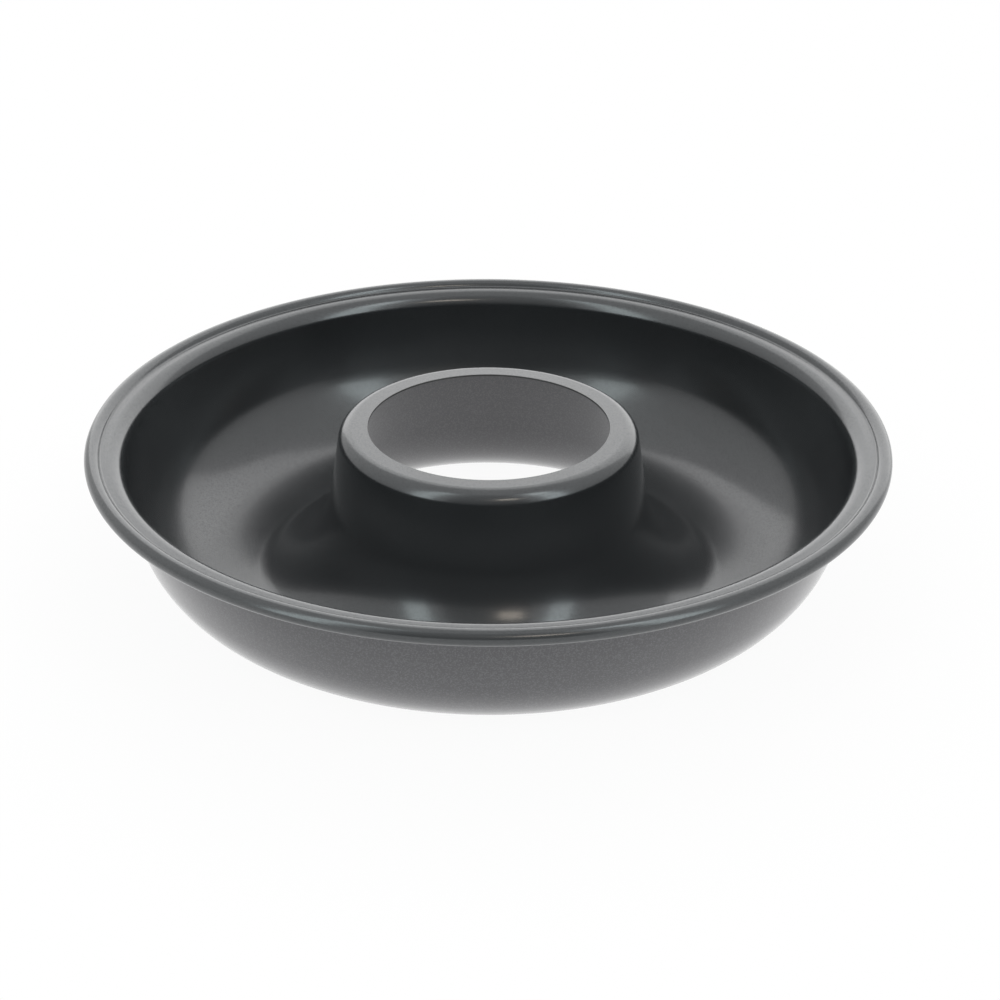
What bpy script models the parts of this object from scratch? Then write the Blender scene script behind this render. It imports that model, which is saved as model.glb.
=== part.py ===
"""Savarin mould: a ring mould drawn from one coated steel sheet, with a wired bead rolled round its rim.

Everything is in metres. The mould stands on z = 0 and its axis is the Z axis.
A section is read in its own plane: r is the distance from the axis and z the height over the table.
Angles in the section start at the outward direction and grow towards +Z.
"""

from math import asin, cos, pi, radians, sin, sqrt, tan

import bpy

# Whole mould
RIM_DIAMETER = 0.2400
HEIGHT = 0.0470
SHEET = 0.00065

# Rim: the sheet flares over from the wall to a narrow flange, and its edge is rolled round a wire
WIRE_DIAMETER = 0.0028
WIRE_GAP = 0.0003
WIRE_BUTT = 0.0016
CREST_OVER_FLANGE = 0.00175
CREASE_RADIUS = 0.0008
FLANGE_FLAT = 0.00165
FLARE_RADIUS = 0.0046
CURL_END = radians(-165)

# Outer wall: almost upright at the top, bowed, and turned into the base by a wide corner that ends in a
# slower curve
WALL_LEAN_TOP = radians(2)
WALL_BOW_RADIUS = 0.0750
CORNER_RADIUS = 0.0290
BASE_OUTER_RADIUS = 0.0482
BASE_OUTER_TURN = radians(17)

# Chimney: a slow curve up from the base ring, a wide foot, a tapering wall and a rounded shoulder round a
# punched hole
HOLE_DIAMETER = 0.0728
SHOULDER_FLAT = 0.0046
SHOULDER_RADIUS = 0.0045
CHIMNEY_DRAFT = radians(8.5)
FOOT_RADIUS = 0.0156
BASE_INNER_RADIUS = 0.0350
BASE_INNER_TURN = radians(20)
CHIMNEY_BELOW_CREST = 0.0

# Fineness of the faceted solids
TURN_STEPS = 60
SHOULDER_STEPS = 5
FOOT_STEPS = 5
BASE_INNER_STEPS = 2
BASE_OUTER_STEPS = 2
CORNER_STEPS = 5
BOW_STEPS = 2
FLARE_STEPS = 5
CREASE_STEPS = 2
CURL_STEPS_PER_QUARTER = 4
WIRE_BEVEL_STEPS = 2
MERGE_DISTANCE = 0.00001
SHARP_ANGLE = radians(50)

# Sizes that follow from the ones above
CURL_INSIDE = WIRE_DIAMETER / 2 + WIRE_GAP
BEAD_RADIUS = CURL_INSIDE + SHEET
BEAD_R = RIM_DIAMETER / 2 - BEAD_RADIUS
BEAD_Z = HEIGHT - BEAD_RADIUS
FLANGE_Z = HEIGHT - CREST_OVER_FLANGE
CHIMNEY_TOP_Z = HEIGHT - CHIMNEY_BELOW_CREST
HOLE_R = HOLE_DIAMETER / 2


def clear_scene():
    for thing in list(bpy.data.objects):
        bpy.data.objects.remove(thing, do_unlink=True)


def coat(name, colour, roughness, metallic):
    """A plain surface finish."""
    finish = bpy.data.materials.new(name)
    finish.use_nodes = True
    surface = finish.node_tree.nodes["Principled BSDF"]
    surface.inputs["Base Color"].default_value = (*colour, 1.0)
    surface.inputs["Roughness"].default_value = roughness
    surface.inputs["Metallic"].default_value = metallic
    finish.diffuse_color = (*colour, 1.0)
    return finish


def arc(centre, radius, start, end, steps):
    """Points along an arc of the section, both ends included."""
    turn = (end - start) / steps
    return [
        (centre[0] + radius * cos(start + turn * i), centre[1] + radius * sin(start + turn * i))
        for i in range(steps + 1)
    ]


def chimney_underside():
    """The sheet's lower face from the edge of the hole down to the inner end of the base ring."""
    top = CHIMNEY_TOP_Z - SHEET
    shoulder = (HOLE_R + SHOULDER_FLAT, CHIMNEY_TOP_Z - SHOULDER_RADIUS)
    shoulder_arc = arc(shoulder, SHOULDER_RADIUS - SHEET, pi / 2, CHIMNEY_DRAFT, SHOULDER_STEPS)
    wall_r, wall_z = shoulder_arc[-1]
    # The foot is tangent to the tapering wall and to the slow curve, and that one to the table
    slower = BASE_INNER_RADIUS - FOOT_RADIUS
    foot_z = BASE_INNER_RADIUS - slower * cos(BASE_INNER_TURN)
    foot_r = wall_r + (wall_z - foot_z) * tan(CHIMNEY_DRAFT) + FOOT_RADIUS / cos(CHIMNEY_DRAFT)
    base_r = foot_r + slower * sin(BASE_INNER_TURN)
    foot_end = 1.5 * pi - BASE_INNER_TURN
    foot_arc = arc((foot_r, foot_z), FOOT_RADIUS, pi + CHIMNEY_DRAFT, foot_end, FOOT_STEPS)
    base_arc = arc((base_r, BASE_INNER_RADIUS), BASE_INNER_RADIUS, foot_end, 1.5 * pi, BASE_INNER_STEPS)
    return [(HOLE_R, top)] + shoulder_arc + foot_arc + base_arc[1:]


def rim_places():
    """Centres of the crease and of the flare, which follow from the bead."""
    reach = BEAD_RADIUS + CREASE_RADIUS
    crease_z = FLANGE_Z + CREASE_RADIUS
    crease = (BEAD_R - sqrt(reach**2 - (crease_z - BEAD_Z) ** 2), crease_z)
    flare = (crease[0] - FLANGE_FLAT, FLANGE_Z - FLARE_RADIUS)
    return crease, flare


def wall_underside(flare):
    """The sheet's lower face from the outer end of the base ring up to the flange."""
    flare_under = FLARE_RADIUS - SHEET
    top = (flare[0] - flare_under * cos(WALL_LEAN_TOP), flare[1] + flare_under * sin(WALL_LEAN_TOP))
    bow = (top[0] - WALL_BOW_RADIUS * cos(WALL_LEAN_TOP), top[1] + WALL_BOW_RADIUS * sin(WALL_LEAN_TOP))
    # The corner is tangent to the slow curve, and the bow to the corner at this lean
    slower = BASE_OUTER_RADIUS - CORNER_RADIUS
    corner_z = BASE_OUTER_RADIUS - slower * cos(BASE_OUTER_TURN)
    lean = asin((bow[1] - corner_z) / (WALL_BOW_RADIUS - CORNER_RADIUS))
    corner_r = bow[0] + (WALL_BOW_RADIUS - CORNER_RADIUS) * cos(lean)
    base_r = corner_r - slower * sin(BASE_OUTER_TURN)
    corner_start = BASE_OUTER_TURN - pi / 2
    base_arc = arc((base_r, BASE_OUTER_RADIUS), BASE_OUTER_RADIUS, -pi / 2, corner_start, BASE_OUTER_STEPS)
    corner_arc = arc((corner_r, corner_z), CORNER_RADIUS, corner_start, -lean, CORNER_STEPS)
    bow_arc = arc(bow, WALL_BOW_RADIUS, -lean, -WALL_LEAN_TOP, BOW_STEPS)
    flare_arc = arc(flare, flare_under, pi - WALL_LEAN_TOP, pi / 2, FLARE_STEPS)
    return base_arc + corner_arc[1:] + bow_arc[1:] + flare_arc[1:]


def curl_inside(crease):
    """The sheet's lower face from the crease round the wire to the sheet's cut edge."""
    towards_bead = asin((BEAD_Z - crease[1]) / (BEAD_RADIUS + CREASE_RADIUS))
    crease_arc = arc(crease, CREASE_RADIUS + SHEET, -pi / 2, towards_bead, CREASE_STEPS)
    quarter = pi / 2
    bead = (BEAD_R, BEAD_Z)
    rising = arc(bead, CURL_INSIDE, pi + towards_bead, quarter, CURL_STEPS_PER_QUARTER // 2)
    over = arc(bead, CURL_INSIDE, quarter, 0, CURL_STEPS_PER_QUARTER)
    under = arc(bead, CURL_INSIDE, 0, -quarter, CURL_STEPS_PER_QUARTER)
    tucked = arc(bead, CURL_INSIDE, -quarter, CURL_END, CURL_STEPS_PER_QUARTER)
    return crease_arc + rising[1:] + over[1:] + under[1:] + tucked[1:]


def section_line(name, points):
    """The section as an object: an open line of edges in the XZ plane."""
    mesh = bpy.data.meshes.new(name)
    corners = [(r, 0, z) for r, z in points]
    edges = [(i, i + 1) for i in range(len(points) - 1)]
    mesh.from_pydata(corners, edges, [])
    return bpy.data.objects.new(name, mesh)


def keep_shape(thing):
    """Settle an object's modifiers into its mesh, round faces smooth and real edges sharp."""
    settled = bpy.data.meshes.new_from_object(thing.evaluated_get(bpy.context.evaluated_depsgraph_get()))
    thing.modifiers.clear()
    thing.data = settled
    settled.shade_smooth()
    settled.set_sharp_from_angle(angle=SHARP_ANGLE)


def pressed_shell(collection, finish):
    """The drawn sheet: chimney, base ring, outer wall, flange and the curl that holds the wire."""
    crease, flare = rim_places()
    points = chimney_underside() + wall_underside(flare) + curl_inside(crease)
    shell = section_line("pressed_shell", points)
    collection.objects.link(shell)

    turn = shell.modifiers.new("turn", "SCREW")
    turn.axis = "Z"
    turn.angle = 2 * pi
    turn.steps = TURN_STEPS
    turn.render_steps = TURN_STEPS
    turn.use_merge_vertices = True
    turn.merge_threshold = MERGE_DISTANCE

    sheet = shell.modifiers.new("sheet", "SOLIDIFY")
    sheet.thickness = SHEET
    sheet.offset = 1
    sheet.use_even_offset = True

    bpy.context.view_layer.update()
    keep_shape(shell)
    shell.data.materials.append(finish)
    return shell


def rim_wire(collection, finish):
    """The wire inside the curl: one ring, its two cut ends meeting with a small gap."""
    route = bpy.data.curves.new("rim_wire", "CURVE")
    route.dimensions = "3D"
    route.bevel_depth = WIRE_DIAMETER / 2
    route.bevel_resolution = WIRE_BEVEL_STEPS
    route.use_fill_caps = True
    butt = WIRE_BUTT / 2 / BEAD_R
    step = 2 * pi / TURN_STEPS
    angles = [butt] + [step * i for i in range(1, TURN_STEPS)] + [2 * pi - butt]
    line = route.splines.new("POLY")
    line.points.add(len(angles) - 1)
    for point, angle in zip(line.points, angles):
        point.co = (BEAD_R * cos(angle), BEAD_R * sin(angle), BEAD_Z, 1)
    wire = bpy.data.objects.new("rim_wire", route)
    collection.objects.link(wire)
    wire.data.materials.append(finish)
    return wire


clear_scene()
mould = bpy.data.collections.new("savarin_mould")
bpy.context.scene.collection.children.link(mould)
nonstick = coat("nonstick_coat", (0.035, 0.037, 0.040), 0.32, 0.25)
bare_steel = coat("bare_steel", (0.46, 0.46, 0.45), 0.38, 1.0)
pressed_shell(mould, nonstick)
rim_wire(mould, bare_steel)
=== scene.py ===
from math import asin, cos, pi, radians, sin, sqrt, tan

import bpy
from mathutils import Matrix, Vector


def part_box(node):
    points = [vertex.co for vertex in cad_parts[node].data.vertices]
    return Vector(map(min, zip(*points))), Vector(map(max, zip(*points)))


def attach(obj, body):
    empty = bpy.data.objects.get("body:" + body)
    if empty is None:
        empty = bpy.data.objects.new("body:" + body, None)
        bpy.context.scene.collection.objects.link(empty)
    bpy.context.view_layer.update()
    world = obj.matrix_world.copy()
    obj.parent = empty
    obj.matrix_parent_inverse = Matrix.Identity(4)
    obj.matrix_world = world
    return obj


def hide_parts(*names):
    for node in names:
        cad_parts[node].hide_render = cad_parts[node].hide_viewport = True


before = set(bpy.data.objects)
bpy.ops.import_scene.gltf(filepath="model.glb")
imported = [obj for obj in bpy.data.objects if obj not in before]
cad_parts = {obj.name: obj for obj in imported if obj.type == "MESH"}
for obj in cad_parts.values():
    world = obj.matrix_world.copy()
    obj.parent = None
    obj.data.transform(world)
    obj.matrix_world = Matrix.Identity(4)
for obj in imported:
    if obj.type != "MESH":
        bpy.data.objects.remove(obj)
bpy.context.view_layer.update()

# The pressed shell is one blank of sheet steel, deep-drawn into chimney, trough and flared rim. The hole is
# punched through the chimney's top, and the outer edge is rolled round a wire. It is coated on both faces:
# glossy charcoal with metallic flakes on the food side, a lighter satin coat on the outer side.
shell_low, shell_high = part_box("pressed_shell")
rim_radius = (shell_high.x - shell_low.x) / 2
mould_height = shell_high.z - shell_low.z
SHEET = 0.00065
EDGE_ROUND = 0.00014

WIRE_RADIUS = 0.0014
WIRE_GAP = 0.0003
CREST_OVER_FLANGE = 0.00175
CREASE_RADIUS = 0.0008
FLANGE_FLAT = 0.00165
FLARE_RADIUS = 0.0046
CURL_END = radians(-165)

WALL_LEAN_TOP = radians(2)
WALL_BOW_RADIUS = 0.0750
CORNER_RADIUS = 0.0290
BASE_OUTER_RADIUS = 0.0482
BASE_OUTER_TURN = radians(17)

HOLE_RADIUS = 0.0364
SHOULDER_FLAT = 0.0046
SHOULDER_RADIUS = 0.0045
CHIMNEY_DRAFT = radians(8.5)
# The foot is wider here than in the solids, where its radius is 15.6 mm
FOOT_RADIUS = 0.0280
BASE_INNER_RADIUS = 0.0140
BASE_INNER_TURN = radians(18)

SHELL_TURN_STEPS = 240
STEP_ANGLE = radians(6)
CURL_STEP_ANGLE = radians(10)
BOW_STEPS = 8

curl_inside = WIRE_RADIUS + WIRE_GAP
bead_radius = curl_inside + SHEET
bead = Vector((rim_radius - bead_radius, mould_height - bead_radius))


def bend(centre, outer_radius, food_radius, start, end, step=STEP_ANGLE, steps=None):
    """Stations round an arc of the section: outer face, food face, and the way the food face looks."""
    steps = steps or max(2, round(abs(end - start) / step))
    stations = []
    for i in range(steps + 1):
        angle = start + (end - start) * i / steps
        away = Vector((cos(angle), sin(angle)))
        facing = away if food_radius > outer_radius else -away
        stations.append((centre + away * outer_radius, centre + away * food_radius, facing))
    return stations


# Chimney, from the hole down to the base ring
shoulder = Vector((HOLE_RADIUS + SHOULDER_FLAT, mould_height - SHOULDER_RADIUS))
hole_edge = Vector((HOLE_RADIUS + EDGE_ROUND, mould_height))
up = Vector((0, 1))
sections = [(hole_edge - up * SHEET, hole_edge, up)]
sections += bend(shoulder, SHOULDER_RADIUS - SHEET, SHOULDER_RADIUS, pi / 2, CHIMNEY_DRAFT)
chimney_foot = sections[-1][0]
foot_z = BASE_INNER_RADIUS - (BASE_INNER_RADIUS - FOOT_RADIUS) * cos(BASE_INNER_TURN)
foot = Vector((
    chimney_foot.x + (chimney_foot.y - foot_z) * tan(CHIMNEY_DRAFT) + FOOT_RADIUS / cos(CHIMNEY_DRAFT), foot_z
))
base_inner = Vector((foot.x + (BASE_INNER_RADIUS - FOOT_RADIUS) * sin(BASE_INNER_TURN), BASE_INNER_RADIUS))
foot_end = 1.5 * pi - BASE_INNER_TURN
sections += bend(foot, FOOT_RADIUS, FOOT_RADIUS - SHEET, pi + CHIMNEY_DRAFT, foot_end)
sections += bend(base_inner, BASE_INNER_RADIUS, BASE_INNER_RADIUS - SHEET, foot_end, 1.5 * pi)[1:]

# Trough wall, from the base ring up to the flange
crease_reach = bead_radius + CREASE_RADIUS
crease_z = mould_height - CREST_OVER_FLANGE + CREASE_RADIUS
crease = Vector((bead.x - sqrt(crease_reach**2 - (crease_z - bead.y) ** 2), crease_z))
flare = Vector((crease.x - FLANGE_FLAT, mould_height - CREST_OVER_FLANGE - FLARE_RADIUS))
wall_top = flare + (FLARE_RADIUS - SHEET) * Vector((-cos(WALL_LEAN_TOP), sin(WALL_LEAN_TOP)))
bow = wall_top - WALL_BOW_RADIUS * Vector((cos(WALL_LEAN_TOP), -sin(WALL_LEAN_TOP)))
corner_z = BASE_OUTER_RADIUS - (BASE_OUTER_RADIUS - CORNER_RADIUS) * cos(BASE_OUTER_TURN)
corner_lean = asin((bow.y - corner_z) / (WALL_BOW_RADIUS - CORNER_RADIUS))
corner = Vector((bow.x + (WALL_BOW_RADIUS - CORNER_RADIUS) * cos(corner_lean), corner_z))
base_outer_r = corner.x - (BASE_OUTER_RADIUS - CORNER_RADIUS) * sin(BASE_OUTER_TURN)
base_outer = Vector((base_outer_r, BASE_OUTER_RADIUS))
corner_start = BASE_OUTER_TURN - pi / 2
sections += bend(base_outer, BASE_OUTER_RADIUS, BASE_OUTER_RADIUS - SHEET, -pi / 2, corner_start)
sections += bend(corner, CORNER_RADIUS, CORNER_RADIUS - SHEET, corner_start, -corner_lean)[1:]
sections += bend(
    bow, WALL_BOW_RADIUS, WALL_BOW_RADIUS - SHEET, -corner_lean, -WALL_LEAN_TOP, steps=BOW_STEPS
)[1:]
sections += bend(flare, FLARE_RADIUS - SHEET, FLARE_RADIUS, pi - WALL_LEAN_TOP, pi / 2)[1:]

# Crease, and the curl round the wire
towards_bead = asin((bead.y - crease.y) / crease_reach)
sections += bend(crease, CREASE_RADIUS + SHEET, CREASE_RADIUS, -pi / 2, towards_bead, step=CURL_STEP_ANGLE)
curl_stop = CURL_END + EDGE_ROUND / curl_inside
sections += bend(bead, curl_inside, bead_radius, pi + towards_bead, curl_stop, step=CURL_STEP_ANGLE)[1:]


def cut_edge(station, beyond):
    """The sheet's cut edge past a station, corners slightly rounded, from the food face to the outer face."""
    outer_place, food_place, facing = station
    rounding = []
    for place, first, second in ((food_place, facing, beyond), (outer_place, beyond, -facing)):
        into = -facing if first == facing else facing
        centre = place + into * EDGE_ROUND
        for i in range(4):
            turn = pi / 2 * i / 3
            look = first * cos(turn) + second * sin(turn)
            rounding.append((centre + look * EDGE_ROUND, look))
    return rounding


FOOD_FACE, OUTER_FACE, CUT_FACE = 0, 1, 2
last_look = sections[-1][2]
curl_cut = cut_edge(sections[-1], Vector((last_look.y, -last_look.x)))
hole_cut = cut_edge(sections[0], Vector((-1, 0)))[::-1]
outline = [(food_place, facing, FOOD_FACE) for _, food_place, facing in sections[1:-1]]
outline += [(place, look, CUT_FACE) for place, look in curl_cut[:-1]]
outline += [(*curl_cut[-1], OUTER_FACE)]
outline += [(outer_place, -facing, OUTER_FACE) for outer_place, _, facing in sections[-2:0:-1]]
outline += [(place, look, CUT_FACE) for place, look in hole_cut[:-1]]
outline += [(*hole_cut[-1], FOOD_FACE)]


def turned(name, outline, turn_steps, base_z):
    """A closed outline turned round the Z axis, each corner keeping the outline's own way of looking."""
    count = len(outline)
    corners, looks, faces, finishes = [], [], [], []
    for step in range(turn_steps):
        angle = 2 * pi * step / turn_steps
        for place, look, _ in outline:
            corners.append((place.x * cos(angle), place.x * sin(angle), place.y + base_z))
            looks.append((look.x * cos(angle), look.x * sin(angle), look.y))
    for step in range(turn_steps):
        here, beside = step * count, (step + 1) % turn_steps * count
        for i in range(count):
            j = (i + 1) % count
            faces.append((here + i, here + j, beside + j, beside + i))
            finishes.append(outline[i][2])
    mesh = bpy.data.meshes.new(name)
    mesh.from_pydata(corners, [], faces)
    mesh.polygons.foreach_set("material_index", finishes)
    mesh.shade_smooth()
    mesh.normals_split_custom_set_from_vertices(looks)
    thing = bpy.data.objects.new(name, mesh)
    bpy.context.scene.collection.objects.link(thing)
    return thing


shell = turned("coated_shell", outline, SHELL_TURN_STEPS, shell_low.z)


def new_group(name, inputs, outputs):
    """An empty node group with number inputs and outputs, and its two end nodes."""
    group = bpy.data.node_groups.new(name, "ShaderNodeTree")
    for socket, value in inputs.items():
        number = group.interface.new_socket(socket, in_out="INPUT", socket_type="NodeSocketFloat")
        number.default_value = value
    for socket in outputs:
        group.interface.new_socket(socket, in_out="OUTPUT", socket_type="NodeSocketFloat")
    return group, group.nodes.new("NodeGroupInput"), group.nodes.new("NodeGroupOutput")


def maths(tree, operation, first, second=None, third=None):
    """A Math node; each operand is a number or another node's output."""
    node = tree.nodes.new("ShaderNodeMath")
    node.operation = operation
    for socket, operand in zip(node.inputs, (first, second, third)):
        if operand is None:
            continue
        if isinstance(operand, (int, float)):
            socket.default_value = operand
        else:
            tree.links.new(operand, socket)
    return node.outputs[0]


# Flakes: small aluminium platelets that lie in the coat, each at its own slant, so only some catch the light
FLAKES_PER_METRE = 3200.0
FLAKE_SHARE = 0.3
DULLEST_FLAKE = 0.4
flakes, flakes_in, flakes_out = new_group(
    "metal flakes", {"Flakes per Metre": FLAKES_PER_METRE, "Share": FLAKE_SHARE}, ("Flake", "Slant")
)
places = flakes.nodes.new("ShaderNodeTexCoord")
cells = flakes.nodes.new("ShaderNodeTexVoronoi")
flakes.links.new(places.outputs["Object"], cells.inputs["Vector"])
flakes.links.new(flakes_in.outputs["Flakes per Metre"], cells.inputs["Scale"])
chance = flakes.nodes.new("ShaderNodeSeparateColor")
flakes.links.new(cells.outputs["Color"], chance.inputs[0])
present = maths(flakes, "LESS_THAN", chance.outputs[0], flakes_in.outputs["Share"])
brightness = maths(flakes, "MULTIPLY_ADD", chance.outputs[1], 1 - DULLEST_FLAKE, DULLEST_FLAKE)
flakes.links.new(maths(flakes, "MULTIPLY", present, brightness), flakes_out.inputs["Flake"])
grit = flakes.nodes.new("ShaderNodeTexNoise")
grit.inputs["Detail"].default_value = 1.0
flakes.links.new(places.outputs["Object"], grit.inputs["Vector"])
flakes.links.new(flakes_in.outputs["Flakes per Metre"], grit.inputs["Scale"])
flakes.links.new(grit.outputs[0], flakes_out.inputs["Slant"])

# Flow: a sprayed coat dries with a faint orange peel and is not equally thick everywhere
PEELS_PER_METRE = 420.0
DRIFTS_PER_PEEL = 0.09
flow, flow_in, flow_out = new_group("coat flow", {"Peels per Metre": PEELS_PER_METRE}, ("Peel", "Thickness"))
places = flow.nodes.new("ShaderNodeTexCoord")
peel = flow.nodes.new("ShaderNodeTexNoise")
flow.links.new(places.outputs["Object"], peel.inputs["Vector"])
flow.links.new(flow_in.outputs["Peels per Metre"], peel.inputs["Scale"])
flow.links.new(peel.outputs[0], flow_out.inputs["Peel"])
drift = flow.nodes.new("ShaderNodeTexNoise")
flow.links.new(places.outputs["Object"], drift.inputs["Vector"])
drifts = maths(flow, "MULTIPLY", flow_in.outputs["Peels per Metre"], DRIFTS_PER_PEEL)
flow.links.new(drifts, drift.inputs["Scale"])
flow.links.new(drift.outputs[0], flow_out.inputs["Thickness"])

SHADE_DRIFT = 0.3
ROUGHNESS_DRIFT = 0.08
COAT_RELIEF = 0.000004


def flaked_coat(
    name, ground, flake, share, metal, ior, tint, roughness, flake_depth, clear, clear_roughness, clear_ior
):
    """A non-stick coat: a dark ground with metallic flakes in it, and the clear gloss of its closed skin."""
    finish = bpy.data.materials.new(name)
    finish.use_nodes = True
    tree = finish.node_tree
    surface = tree.nodes["Principled BSDF"]
    flake_node = tree.nodes.new("ShaderNodeGroup")
    flake_node.node_tree = flakes
    flake_node.inputs["Share"].default_value = share
    flow_node = tree.nodes.new("ShaderNodeGroup")
    flow_node.node_tree = flow

    colour = tree.nodes.new("ShaderNodeMix")
    colour.data_type = "RGBA"
    colour.inputs["A"].default_value = (*ground, 1)
    colour.inputs["B"].default_value = (*flake, 1)
    tree.links.new(flake_node.outputs["Flake"], colour.inputs["Factor"])
    shade = tree.nodes.new("ShaderNodeHueSaturation")
    tree.links.new(colour.outputs["Result"], shade.inputs["Color"])
    value = maths(tree, "MULTIPLY_ADD", flow_node.outputs["Thickness"], SHADE_DRIFT, 1 - SHADE_DRIFT / 2)
    tree.links.new(value, shade.inputs["Value"])
    tree.links.new(shade.outputs[0], surface.inputs["Base Color"])

    tree.links.new(maths(tree, "MULTIPLY", flake_node.outputs["Flake"], metal), surface.inputs["Metallic"])
    smoothest = roughness - ROUGHNESS_DRIFT / 2
    rough = maths(tree, "MULTIPLY_ADD", flow_node.outputs["Thickness"], ROUGHNESS_DRIFT, smoothest)
    tree.links.new(rough, surface.inputs["Roughness"])

    relief = maths(
        tree, "MULTIPLY_ADD", flake_node.outputs["Slant"], flake_depth, flow_node.outputs["Peel"]
    )
    bump = tree.nodes.new("ShaderNodeBump")
    bump.inputs["Distance"].default_value = COAT_RELIEF
    tree.links.new(relief, bump.inputs["Height"])
    tree.links.new(bump.outputs[0], surface.inputs["Normal"])

    surface.inputs["IOR"].default_value = ior
    surface.inputs["Specular Tint"].default_value = (*tint, 1)
    surface.inputs["Coat Weight"].default_value = clear
    surface.inputs["Coat Roughness"].default_value = clear_roughness
    surface.inputs["Coat IOR"].default_value = clear_ior
    return finish


food_coat = flaked_coat(
    "food_side_coat", ground=(0.0180, 0.0198, 0.0212), flake=(0.040, 0.042, 0.044), share=0.30, metal=0.5,
    ior=1.7, tint=(0.95, 0.98, 1.0), roughness=0.23, flake_depth=1.4,
    clear=0.35, clear_roughness=0.12, clear_ior=1.5,
)
outer_coat = flaked_coat(
    "outer_side_coat", ground=(0.035, 0.034, 0.038), flake=(0.098, 0.098, 0.103), share=0.35, metal=0.3,
    ior=1.75, tint=(0.98, 0.98, 1.0), roughness=0.30, flake_depth=2.2,
    clear=1.0, clear_roughness=0.15, clear_ior=1.25,
)
cut_coat = flaked_coat(
    "cut_edge_coat", ground=(0.016, 0.017, 0.018), flake=(0.060, 0.060, 0.060), share=0.2, metal=0.5,
    ior=1.5, tint=(1, 1, 1), roughness=0.38, flake_depth=1.2,
    clear=0.5, clear_roughness=0.25, clear_ior=1.5,
)
for finish in (food_coat, outer_coat, cut_coat):
    shell.data.materials.append(finish)
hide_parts("pressed_shell")
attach(shell, "root")

# The rim wire is a plain drawn steel wire, bent to a ring and cut so that its two ends meet. Nothing fixes
# it: the sheet's rolled edge grips it all the way round and hides it.
WIRE_BUTT = 0.0016
WIRE_TURN_STEPS = 240
WIRE_SIDES = 20
WIRE_CHAMFER = 0.00025
WIRE_SHARP = radians(30)
WIRE_PEELS_PER_METRE = 900.0
WIRE_SMOOTHEST, WIRE_ROUGHNESS_DRIFT = 0.28, 0.2


def wire_ring(name, radius, centre_r, centre_z, butt):
    """An open ring of round wire, its cut ends chamfered, with the gap between them on +X."""
    half_gap = butt / 2 / centre_r
    chamfer = WIRE_CHAMFER / centre_r
    stops = [(half_gap, radius - WIRE_CHAMFER), (half_gap + chamfer, radius)]
    turn = 2 * pi / WIRE_TURN_STEPS
    stops += [(turn * i, radius) for i in range(2, WIRE_TURN_STEPS - 1)]
    stops += [(2 * pi - half_gap - chamfer, radius), (2 * pi - half_gap, radius - WIRE_CHAMFER)]
    corners = []
    for angle, thick in stops:
        for side in range(WIRE_SIDES):
            round_wire = 2 * pi * side / WIRE_SIDES
            r = centre_r + thick * cos(round_wire)
            corners.append((r * cos(angle), r * sin(angle), centre_z + thick * sin(round_wire)))
    faces = [tuple(range(WIRE_SIDES)), tuple(reversed(range(len(corners) - WIRE_SIDES, len(corners))))]
    for stop in range(len(stops) - 1):
        here, beside = stop * WIRE_SIDES, (stop + 1) * WIRE_SIDES
        for i in range(WIRE_SIDES):
            j = (i + 1) % WIRE_SIDES
            faces.append((here + j, here + i, beside + i, beside + j))
    mesh = bpy.data.meshes.new(name)
    mesh.from_pydata(corners, [], faces)
    mesh.shade_smooth()
    mesh.set_sharp_from_angle(angle=WIRE_SHARP)
    thing = bpy.data.objects.new(name, mesh)
    bpy.context.scene.collection.objects.link(thing)
    return thing


wire = wire_ring("wire_in_the_bead", WIRE_RADIUS, bead.x, bead.y + shell_low.z, WIRE_BUTT)
drawn_steel = bpy.data.materials.new("drawn_steel")
drawn_steel.use_nodes = True
steel_tree = drawn_steel.node_tree
steel = steel_tree.nodes["Principled BSDF"]
steel.inputs["Metallic"].default_value = 1.0
steel_flow = steel_tree.nodes.new("ShaderNodeGroup")
steel_flow.node_tree = flow
steel_flow.inputs["Peels per Metre"].default_value = WIRE_PEELS_PER_METRE
steel_shade = steel_tree.nodes.new("ShaderNodeValToRGB")
steel_shade.color_ramp.elements[0].color = (0.36, 0.35, 0.34, 1)
steel_shade.color_ramp.elements[1].color = (0.56, 0.56, 0.55, 1)
steel_tree.links.new(steel_flow.outputs["Peel"], steel_shade.inputs[0])
steel_tree.links.new(steel_shade.outputs[0], steel.inputs["Base Color"])
steel_rough = maths(
    steel_tree, "MULTIPLY_ADD", steel_flow.outputs["Thickness"], WIRE_ROUGHNESS_DRIFT, WIRE_SMOOTHEST
)
steel_tree.links.new(steel_rough, steel.inputs["Roughness"])
wire.data.materials.append(drawn_steel)
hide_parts("rim_wire")
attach(wire, "root")

# The table is a white light table. It looks evenly white from the camera and in the coat's gloss, and keeps
# part of the mould's shadow; to soft light it is a plain matt white surface.
TABLE_RADIUS = 1.5
GLOW_NEAR, GLOW_FAR = 0.94, 1.0
SHADOW_ENDS = 0.20


def disc(name, radius, z, sides=96):
    """A flat round face."""
    mesh = bpy.data.meshes.new(name)
    rim = [(radius * cos(2 * pi * i / sides), radius * sin(2 * pi * i / sides), z) for i in range(sides)]
    mesh.from_pydata(rim, [], [tuple(range(sides))])
    thing = bpy.data.objects.new(name, mesh)
    bpy.context.scene.collection.objects.link(thing)
    return thing


def seen_directly(tree):
    """1 for a ray from the camera, or one that gloss or glass sends on; 0 for soft light."""
    path = tree.nodes.new("ShaderNodeLightPath")
    gloss = maths(tree, "MAXIMUM", path.outputs["Is Glossy Ray"], path.outputs["Is Transmission Ray"])
    return maths(tree, "MAXIMUM", path.outputs["Is Camera Ray"], gloss)


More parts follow.
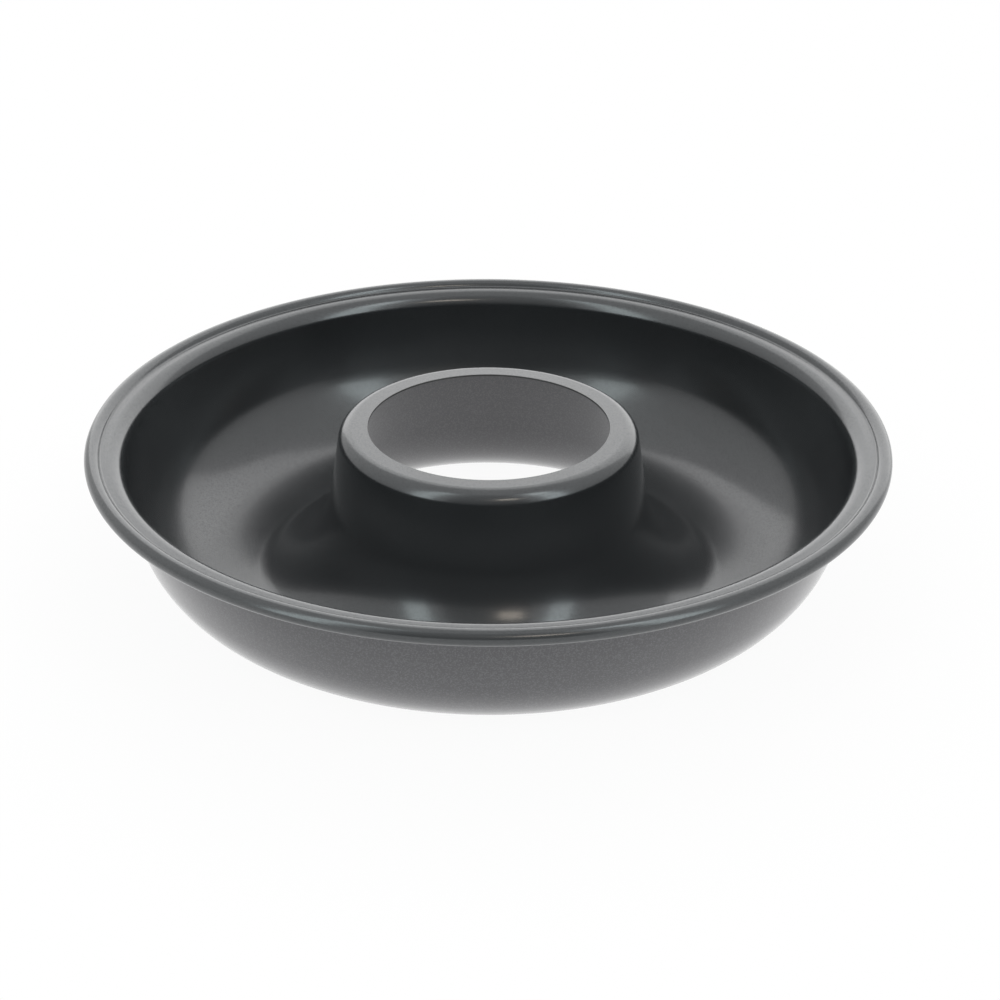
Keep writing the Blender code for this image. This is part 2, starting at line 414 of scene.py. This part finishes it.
table = disc("table", TABLE_RADIUS, shell_low.z)
table_white = bpy.data.materials.new("table_white")
table_white.use_nodes = True
table_tree = table_white.node_tree
matt = table_tree.nodes["Principled BSDF"]
matt.inputs["Base Color"].default_value = (0.95, 0.95, 0.95, 1)
matt.inputs["Roughness"].default_value = 0.9
matt.inputs["Specular IOR Level"].default_value = 0.0
glow = table_tree.nodes.new("ShaderNodeEmission")
glow.inputs["Color"].default_value = (1, 1, 1, 1)
table_place = table_tree.nodes.new("ShaderNodeTexCoord")
table_distance = table_tree.nodes.new("ShaderNodeVectorMath")
table_distance.operation = "LENGTH"
table_tree.links.new(table_place.outputs["Object"], table_distance.inputs[0])
fade = table_tree.nodes.new("ShaderNodeMapRange")
fade.interpolation_type = "SMOOTHSTEP"
fade.inputs["From Min"].default_value = rim_radius
fade.inputs["From Max"].default_value = SHADOW_ENDS
fade.inputs["To Min"].default_value = GLOW_NEAR
fade.inputs["To Max"].default_value = GLOW_FAR
table_tree.links.new(table_distance.outputs["Value"], fade.inputs["Value"])
table_mix = table_tree.nodes.new("ShaderNodeMixShader")
shining = maths(table_tree, "MULTIPLY", fade.outputs[0], seen_directly(table_tree))
table_tree.links.new(shining, table_mix.inputs[0])
table_tree.links.new(matt.outputs[0], table_mix.inputs[1])
table_tree.links.new(glow.outputs[0], table_mix.inputs[2])
table_tree.links.new(table_mix.outputs[0], table_tree.nodes["Material Output"].inputs["Surface"])
table.data.materials.append(table_white)

# The studio: white surroundings, and before them a broad box at the back, two tall boxes at the sides, two
# small lamps, a faint box overhead, and a grey curtain that keeps the side towards the camera dim.
BOX_DISTANCE = 1.3
SOFT_LIGHT = 0.57
SIDE_LIGHT_LOW, SIDE_LIGHT_FULL_AT = 0.82, radians(35)
SOFT_BOXES = {
    # name: (azimuth from the back, half width, lowest and highest elevation, brightness over what is behind
    # it, colour); angles in degrees, as seen from the mould's middle
    "back_box": (9.5, 41.5, 0, 60, 0.92, (1.0, 0.99, 0.985)),
    "tall_box_left": (-132.5, 8.0, 1, 66, 2.35, (0.88, 1.0, 1.0)),
    "tall_box_right": (131.0, 8.0, 1, 64, 2.60, (0.88, 0.99, 1.0)),
    "small_lamp": (134.0, 7.0, 47, 60, 1.40, (1.0, 1.0, 1.0)),
    "warm_lamp": (164.5, 7.5, 33, 41, 4.0, (1.14, 1.0, 0.84)),
}
TOP_BOX = dict(z=1.3, y=0.05, width=2.4, depth=1.35, strength=0.08)
CURTAIN_RADIUS = 2.0
CURTAIN_TOP = radians(72)
CURTAIN_HALF_WIDTH = radians(29)
# In gloss it is dark below and lighter above; to soft light it is brighter by CURTAIN_SOFT
CURTAIN_LOW, CURTAIN_HIGH = 0.22, 0.66
CURTAIN_SOFT = 0.50


def soft_box(name, place, towards, width, height, strength, colour=(1, 1, 1)):
    """A rectangular lamp whose face shines at the given strength, where 1 is white."""
    lamp = bpy.data.lights.new(name, "AREA")
    lamp.shape = "RECTANGLE"
    lamp.size, lamp.size_y = width, height
    lamp.color = colour
    lamp.energy = strength * pi * width * height
    box = bpy.data.objects.new(name, lamp)
    box.location = place
    box.rotation_euler = (Vector(towards) - Vector(place)).to_track_quat("-Z", "Y").to_euler()
    bpy.context.scene.collection.objects.link(box)
    box.visible_camera = False
    return box


for name, (azimuth, half_width, lowest, highest, strength, colour) in SOFT_BOXES.items():
    azimuth = radians(azimuth)
    low_edge, high_edge = (BOX_DISTANCE * tan(radians(angle)) for angle in (lowest, highest))
    middle = (low_edge + high_edge) / 2
    place = Vector((BOX_DISTANCE * sin(azimuth), BOX_DISTANCE * cos(azimuth), middle))
    soft_box(name, place, (0, 0, middle), 2 * BOX_DISTANCE * tan(radians(half_width)),
             high_edge - low_edge, strength, colour)
soft_box("top_box", (0, TOP_BOX["y"], TOP_BOX["z"]), (0, TOP_BOX["y"], 0),
         TOP_BOX["width"], TOP_BOX["depth"], TOP_BOX["strength"])


def curtain_shell(name, radius, half_width, top, columns=32, rows=12):
    """Part of a sphere round the mould, centred behind the camera."""
    corners, faces = [], []
    for row in range(rows + 1):
        height = top * row / rows
        for column in range(columns + 1):
            side = half_width * (2 * column / columns - 1) - pi / 2
            reach = radius * cos(height)
            corners.append((reach * cos(side), reach * sin(side), radius * sin(height)))
    for row in range(rows):
        for column in range(columns):
            here = row * (columns + 1) + column
            faces.append((here, here + 1, here + columns + 2, here + columns + 1))
    mesh = bpy.data.meshes.new(name)
    mesh.from_pydata(corners, [], faces)
    thing = bpy.data.objects.new(name, mesh)
    bpy.context.scene.collection.objects.link(thing)
    return thing


curtain = curtain_shell("grey_curtain", CURTAIN_RADIUS, CURTAIN_HALF_WIDTH, CURTAIN_TOP)
curtain.visible_camera = False
curtain_grey = bpy.data.materials.new("curtain_grey")
curtain_grey.use_nodes = True
curtain_tree = curtain_grey.node_tree
curtain_tree.nodes.remove(curtain_tree.nodes["Principled BSDF"])
curtain_look = curtain_tree.nodes.new("ShaderNodeEmission")
curtain_texture = curtain_tree.nodes.new("ShaderNodeTexCoord")
curtain_place = curtain_tree.nodes.new("ShaderNodeSeparateXYZ")
curtain_tree.links.new(curtain_texture.outputs["Object"], curtain_place.inputs[0])
curtain_shade = curtain_tree.nodes.new("ShaderNodeMapRange")
curtain_shade.inputs["From Min"].default_value = 0.0
curtain_shade.inputs["From Max"].default_value = CURTAIN_RADIUS * sin(CURTAIN_TOP)
curtain_shade.inputs["To Min"].default_value = CURTAIN_LOW
curtain_shade.inputs["To Max"].default_value = CURTAIN_HIGH
curtain_tree.links.new(curtain_place.outputs["Z"], curtain_shade.inputs["Value"])
curtain_path = curtain_tree.nodes.new("ShaderNodeLightPath")
soft_ray = curtain_path.outputs["Is Diffuse Ray"]
curtain_strength = maths(curtain_tree, "MULTIPLY_ADD", soft_ray, CURTAIN_SOFT, curtain_shade.outputs[0])
curtain_tree.links.new(curtain_strength, curtain_look.inputs["Strength"])
curtain_tree.links.new(curtain_look.outputs[0], curtain_tree.nodes["Material Output"].inputs["Surface"])
curtain.data.materials.append(curtain_grey)

studio = bpy.data.worlds.new("studio")
studio.use_nodes = True
bpy.context.scene.world = studio
studio_tree = studio.node_tree
air = studio_tree.nodes["Background"]
air.inputs["Color"].default_value = (1, 1, 1, 1)
air_place = studio_tree.nodes.new("ShaderNodeSeparateXYZ")
studio_tree.links.new(studio_tree.nodes.new("ShaderNodeTexCoord").outputs["Generated"], air_place.inputs[0])
air_shade = studio_tree.nodes.new("ShaderNodeMapRange")
air_shade.interpolation_type = "SMOOTHSTEP"
air_shade.inputs["From Min"].default_value = 0.0
air_shade.inputs["From Max"].default_value = sin(SIDE_LIGHT_FULL_AT)
air_shade.inputs["To Min"].default_value = SIDE_LIGHT_LOW
air_shade.inputs["To Max"].default_value = 1.0
studio_tree.links.new(air_place.outputs["Z"], air_shade.inputs["Value"])
air_path = studio_tree.nodes.new("ShaderNodeLightPath")
glossy_air = maths(studio_tree, "MULTIPLY", air_path.outputs["Is Glossy Ray"], air_shade.outputs[0])
straight_ray, glass_ray = air_path.outputs["Is Camera Ray"], air_path.outputs["Is Transmission Ray"]
seen_air = maths(studio_tree, "MAXIMUM", straight_ray, glass_ray)
bright_air = maths(studio_tree, "MAXIMUM", seen_air, glossy_air)
studio_tree.links.new(maths(studio_tree, "MAXIMUM", bright_air, SOFT_LIGHT), air.inputs["Strength"])
bpy.context.scene.view_settings.view_transform = "Standard"

# The camera stands in front of the mould and looks down on it. Its place, tilt and lens are those that give
# the rim, the hole and the lower outline their places in the photograph.
FRAME_PIXELS = 1000
CAMERA_DISTANCE = 0.606
FOCAL_PIXELS = 3.317 * CAMERA_DISTANCE * 1000
CAMERA_ABOVE = radians(27.882)
CAMERA_ROLL = radians(0.364)
AIM_PIXEL = (488.341, 431.478)
SENSOR = 36.0

looking = Vector((0, cos(CAMERA_ABOVE), -sin(CAMERA_ABOVE)))
rightwards = Vector((1, 0, 0))
upwards = rightwards.cross(looking)
per_pixel = CAMERA_DISTANCE / FOCAL_PIXELS
camera_place = (
    Vector((0, 0, bead.y)) - looking * CAMERA_DISTANCE
    - rightwards * (AIM_PIXEL[0] - FRAME_PIXELS / 2) * per_pixel
    + upwards * (AIM_PIXEL[1] - FRAME_PIXELS / 2) * per_pixel
)
lens = bpy.data.cameras.new("camera")
lens.sensor_width = SENSOR
lens.lens = FOCAL_PIXELS / FRAME_PIXELS * SENSOR
camera = bpy.data.objects.new("camera", lens)
facing = Matrix((rightwards, upwards, -looking)).transposed().to_4x4()
camera.matrix_world = Matrix.Translation(camera_place) @ facing @ Matrix.Rotation(CAMERA_ROLL, 4, "Z")
bpy.context.scene.collection.objects.link(camera)
bpy.context.scene.camera = camera
